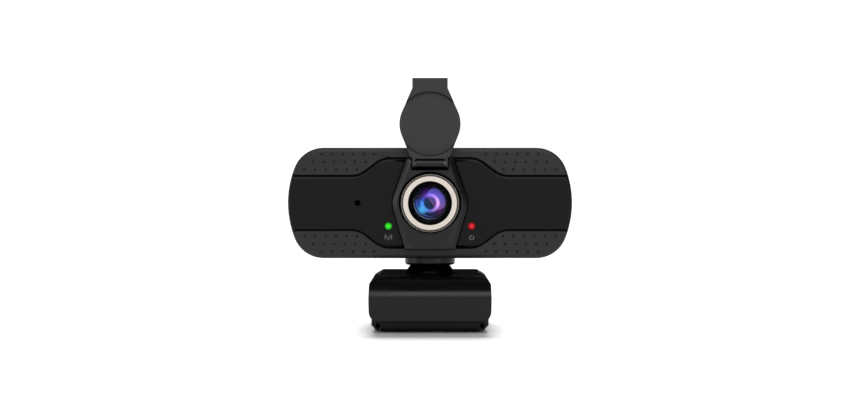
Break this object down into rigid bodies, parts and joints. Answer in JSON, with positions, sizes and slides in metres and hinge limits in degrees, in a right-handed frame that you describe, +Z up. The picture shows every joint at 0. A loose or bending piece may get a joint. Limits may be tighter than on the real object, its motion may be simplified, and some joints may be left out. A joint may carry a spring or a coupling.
{
  "type": "webcam",
  "caption": "Wide webcam on a folding clip stand, with a flip-up privacy cover, focus ring, tilting and turning neck, hinged clip and foot flap.",
  "frame": {"origin": "mouth of the tripod thread, in the middle of the clip leg's underside, under the neck's axis", "axes": "+X to the viewer's right along the head, the lens looks along -Y, +Z up"},
  "size_m": [0.1, 0.0496, 0.088],
  "materials": {
    "shell_plastic": "satin moulded plastic",
    "panel_plastic": "fine satin plastic",
    "bezel_plastic": "satin plastic",
    "cover_plastic": "satin plastic",
    "clip_plastic": "gloss moulded plastic",
    "neck_plastic": "satin plastic",
    "ring_metal": "turned and anodised, champagne",
    "lens_glass": "coated, clear",
    "filter_glass": "infrared coating",
    "barrel_plastic": "matt black",
    "sensor_silicon": "polished",
    "green_light": "clear tinted, lit",
    "red_light": "clear tinted, lit",
    "board_laminate": "solder mask",
    "chip_plastic": "moulded epoxy",
    "header_plastic": "natural nylon",
    "steel": "bright zinc",
    "dark_steel": "black oxide",
    "mic_metal": "black felt over a drawn can",
    "rubber": "matt black",
    "brass": "machined",
    "washer_plastic": "natural acetal"
  },
  "bodies": {
    "clip_leg_body": {"clip_leg": "clip_plastic", "sole_pad": "rubber", "grip_pad": "rubber", "tripod_insert": "brass", "hinge_pin": "steel", "hinge_washers": "washer_plastic", "flap_pin": "steel"},
    "clip_top_body": {"clip_top_shell": "clip_plastic", "clip_liner": "neck_plastic", "clip_screws": "dark_steel", "lip_pad": "rubber"},
    "swivel_body": {"swivel_dome": "neck_plastic", "swivel_retainer": "steel"},
    "head_body": {"front_shell": "shell_plastic", "rear_cover": "shell_plastic", "left_panel": "panel_plastic", "right_panel": "panel_plastic", "lens_bezel": "bezel_plastic", "lens_holder": "barrel_plastic", "ir_filter": "filter_glass", "image_sensor": "sensor_silicon", "green_light_pipe": "green_light", "red_light_pipe": "red_light", "led_chips": "header_plastic", "mic_boot": "rubber", "mic_capsule": "mic_metal", "main_board": "board_laminate", "board_chips": "chip_plastic", "cable_header": "header_plastic", "board_screws": "steel", "housing_screws": "dark_steel", "cable_grommet": "rubber", "cover_pin": "steel", "neck_collar": "neck_plastic", "tilt_screw": "steel", "tilt_saddle": "washer_plastic", "tilt_spring": "steel"},
    "focus_body": {"lens_ring": "ring_metal", "lens_barrel": "barrel_plastic", "front_glass": "lens_glass", "lens_baffle": "barrel_plastic", "rear_glass": "lens_glass", "glass_spacer": "barrel_plastic"},
    "cover_body": {"privacy_cover": "cover_plastic"},
    "flap_body": {"foot_flap": "clip_plastic", "flap_pad": "rubber"}
  },
  "joints": [
    {"name": "clip_hinge", "type": "hinge", "parent": "clip_leg_body", "child": "clip_top_body", "pos_m": [0, 0.0203, 0.0084], "axis": [-1, 0, 0], "range_deg": [0, 105]},
    {"name": "pan", "type": "hinge", "parent": "clip_top_body", "child": "swivel_body", "pos_m": [0, 0, 0.0195], "axis": [0, 0, 1], "continuous": true},
    {"name": "tilt", "type": "hinge", "parent": "swivel_body", "child": "head_body", "pos_m": [0, 0, 0.016], "axis": [1, 0, 0], "range_deg": [-15, 15]},
    {"name": "focus", "type": "hinge", "parent": "head_body", "child": "focus_body", "pos_m": [0, -0.0132, 0.0445], "axis": [0, -1, 0], "range_deg": [-60, 60]},
    {"name": "cover_hinge", "type": "hinge", "parent": "head_body", "child": "cover_body", "pos_m": [0, -0.0156, 0.0583], "axis": [1, 0, 0], "range_deg": [0, 180]},
    {"name": "flap_hinge", "type": "hinge", "parent": "clip_leg_body", "child": "flap_body", "pos_m": [0, -0.0096, 0.0033], "axis": [-1, 0, 0], "range_deg": [0, 60]}
  ]
}
